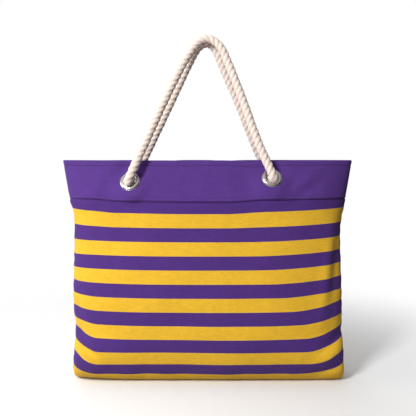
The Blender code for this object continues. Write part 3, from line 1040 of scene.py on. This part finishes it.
# -------- base and seams
def make_base(material):
    """The flat base, a touch slack in its middle."""
    columns, rows = 120, 12
    half_length, half_breadth = base_high.x + BASE_TUCK, base_high.y + BASE_TUCK
    x = half_length * np.linspace(-1, 1, columns) * 0.995
    reach = half_breadth * (1 - np.abs(x / half_length) ** FOOT_POWER) ** (1 / FOOT_POWER)
    t = np.linspace(-1, 1, rows)
    grid_x, grid_t = np.meshgrid(x, t)
    grid_y = grid_t * reach[None, :]
    top = np.full_like(grid_x, CANVAS)
    top = top + 0.0006 * (1 - grid_t ** 2) * (0.5 + 0.5 * ripple(grid_x, grid_y, 40.0, 3.0))
    along, up = end_shift(grid_x, 0 * grid_x)
    points = np.stack([grid_x + along, grid_y, top + up], axis=-1)
    base = grid_object("base_canvas", points, np.stack([grid_x, grid_y], axis=-1), False, material)
    modifier(base, "SOLIDIFY", thickness=CANVAS, offset=-1.0)
    settle(base)
    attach(base, "bag")
    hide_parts("base_panel")


def make_side_tape(direction, stands_for, material):
    """Folded tape over the side seam's raw edges, standing inward, with its line of stitching pressed in."""
    low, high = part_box(stands_for)
    heights = np.linspace(low.z, high.z, 90)
    width = high.x - low.x - (half_width(heights).max() - half_width(heights).min())
    across = np.linspace(0, 1, 12)
    grid_a, grid_h = np.meshgrid(across, heights)
    outer = half_width(grid_h) - CANVAS - 2 * GAP
    x = direction * (outer - width * grid_a)
    wobble = 0.0004 * np.sin(grid_h * 240) * grid_a
    y = wobble - 0.0002 * bell(grid_a - 0.7, 0.08)
    along, up = end_shift(x, grid_h)
    points = np.stack([x + along, y, grid_h + up], axis=-1)
    uvs = np.stack([grid_a * width, grid_h], axis=-1)
    tape = grid_object(stands_for.replace("binding", "tape"), points, uvs, direction > 0, material)
    modifier(tape, "SOLIDIFY", thickness=TAPE, offset=0.0)
    modifier(tape, "BEVEL", width=0.0004, segments=2)
    settle(tape)
    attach(tape, "bag")
    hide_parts(stands_for)


def make_base_tape(material):
    """Tape round the base's seam: a low soft-edged ring inside the wall."""
    low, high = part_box("base_seam_binding")
    turns = np.linspace(0, 2 * math.pi, 240, endpoint=False)
    across, out = section_point(turns, np.zeros_like(turns))
    ring_x = high.x * across
    ring_y = high.y * out * np.sign(np.sin(turns))
    heights = np.linspace(low.z, high.z, 6)
    mean_reach = 0.17
    vertices, uvs = [], []
    for level, height in enumerate(heights):
        wobble = 0.0004 * np.sin(turns * 70) * level / len(heights)
        along, up = end_shift(ring_x, np.full_like(ring_x, height))
        vertices += list(zip(ring_x * (1 + wobble * 2) + along, ring_y * (1 + wobble * 20), height + up))
        uvs += [(turn * mean_reach, height) for turn in turns]
    polygons = ring_quads(len(heights), len(turns))
    tape = mesh_object("base_seam_tape", vertices, polygons, uvs, material)
    modifier(tape, "SOLIDIFY", thickness=TAPE, offset=-1.0)
    modifier(tape, "BEVEL", width=0.0004, segments=2)
    settle(tape)
    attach(tape, "bag")
    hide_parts("base_seam_binding")


# -------- camera, light, floor
CAMERA_PLACE = (0.001, -1.10, 0.4351)
CAMERA_PITCH = math.radians(90 - 5.534)
CAMERA_LENS = 50
FLOOR_RADIUS = 0.90
FADE_START = 0.32
FLOOR_BOUNCE = 0.52


def make_camera():
    camera = linked("camera", bpy.data.cameras.new("camera"))
    camera.location = CAMERA_PLACE
    camera.rotation_euler = (CAMERA_PITCH, 0, 0)
    camera.data.lens = CAMERA_LENS
    bpy.context.scene.camera = camera


def area_light(name, place, target, size, power):
    light = linked(name, bpy.data.lights.new(name, "AREA"))
    light.data.shape = "RECTANGLE"
    light.data.size, light.data.size_y = size
    light.data.energy = power
    light.location = place
    light.rotation_euler = (Vector(target) - Vector(place)).to_track_quat("-Z", "Y").to_euler()


def make_studio():
    area_light("key", (-0.85, -1.35, 1.25), target=(0, 0, 0.28), size=(0.40, 0.5), power=33)
    area_light("side", (-1.30, -0.20, 0.45), target=(-0.1, 0, 0.22), size=(0.5, 0.9), power=4)
    area_light("back", (-0.3, 1.8, 1.3), target=(0, 0, 0.3), size=(1.6, 1.2), power=12)
    world = bpy.data.worlds.new("studio")
    bpy.context.scene.world = world
    world.use_nodes = True
    tree = world.node_tree
    place = node(tree, "ShaderNodeTexCoord").outputs["Generated"]
    split = node(tree, "ShaderNodeSeparateXYZ", {0: place})
    lean = maths(tree, "MULTIPLY_ADD", split.outputs[0], -0.24, 0.25)
    glow = maths(tree, "MULTIPLY_ADD", split.outputs[2], 0.26, lean, clamp=True)
    seen = node(tree, "ShaderNodeLightPath").outputs["Is Camera Ray"]
    strength = maths(tree, "MAXIMUM", glow, seen)
    background = tree.nodes["Background"]
    background.inputs["Color"].default_value = (1, 1, 1, 1)
    tree.links.new(strength, background.inputs["Strength"])
    bpy.context.scene.view_settings.view_transform = "Standard"


def make_floor():
    """A pale disc of floor that fades into the white round it, and sends about half of its light back up."""
    shape = bmesh.new()
    bmesh.ops.create_circle(shape, cap_ends=True, segments=96, radius=FLOOR_RADIUS)
    floor = bmesh_object("floor", shape)
    material, tree, shader = new_material("floor")
    place = node(tree, "ShaderNodeNewGeometry").outputs["Position"]
    reach = node(tree, "ShaderNodeVectorMath", {0: place}, operation="LENGTH").outputs["Value"]
    fade = node(tree, "ShaderNodeMapRange", {0: reach, 1: FADE_START, 2: FLOOR_RADIUS, 3: 1.0, 4: 0.0},
                interpolation_type="SMOOTHSTEP").outputs[0]
    seen = node(tree, "ShaderNodeLightPath").outputs["Is Camera Ray"]
    share = maths(tree, "MULTIPLY_ADD", seen, 1 - FLOOR_BOUNCE, FLOOR_BOUNCE)
    tree.links.new(maths(tree, "MULTIPLY", fade, share), shader.inputs["Alpha"])
    finish(shader, {"Base Color": (0.93, 0.93, 0.93, 1), "Roughness": 0.7})
    floor.data.materials.append(material)


# -------- the bag
make_camera()
rope_yarn = thread_material("cotton_yarn", COTTON, 2 * math.pi * ROPE_CROWN_RADIUS / 3, YARN_WIDTH)
hem_run, stitch_run, rim_run = runs_up_outside((BAND_BOTTOM + 0.0010, HEM_STITCH_HEIGHT, RIM_STITCH_HEIGHT))
# Painted shade under the hem's fold and in the stitch grooves: (place down its cloth, half height, how much
# darker).
band_shade_lines = ((-hem_run, 0.0006, 0.40), (-stitch_run, 0.0005, 0.20), (-rim_run, 0.0007, 0.32))
striped = canvas_material("striped_weave", striped=True)
banded = canvas_material("band_weave", lines=band_shade_lines)
plain = canvas_material("plain_weave")
thread = thread_material("sewing_thread", THREAD, 0.0006, 0.0003)
nickel = nickel_material()

for face in FACES:
    knots = [make_knot(face, side, rope_yarn) for side in GROMMET_PLACES]
    rope, centre, length, pivot, axis = make_handle(face, rope_yarn)
    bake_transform(rope)
    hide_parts(f"{face}_handle_rope")
    exit_point = grommet_frame(face, "left").translation

for face in FACES:
    band, band_flat = make_band(face, banded)
    rim_row = stitch_row(f"{face}_rim_stitches", face, RIM_STITCH_HEIGHT, LAYER, thread)
    hem_row = stitch_row(f"{face}_hem_stitches", face, HEM_STITCH_HEIGHT, LAYER + HEM_STITCH_LIFT, thread)
    panel, panel_flat = make_panel(face, striped)
    for side in GROMMET_PLACES:
        make_metal(face, side, nickel)
make_base(plain)
make_side_tape(-1, "left_seam_binding", plain)
make_side_tape(1, "right_seam_binding", plain)
make_base_tape(plain)
make_studio()
make_floor()
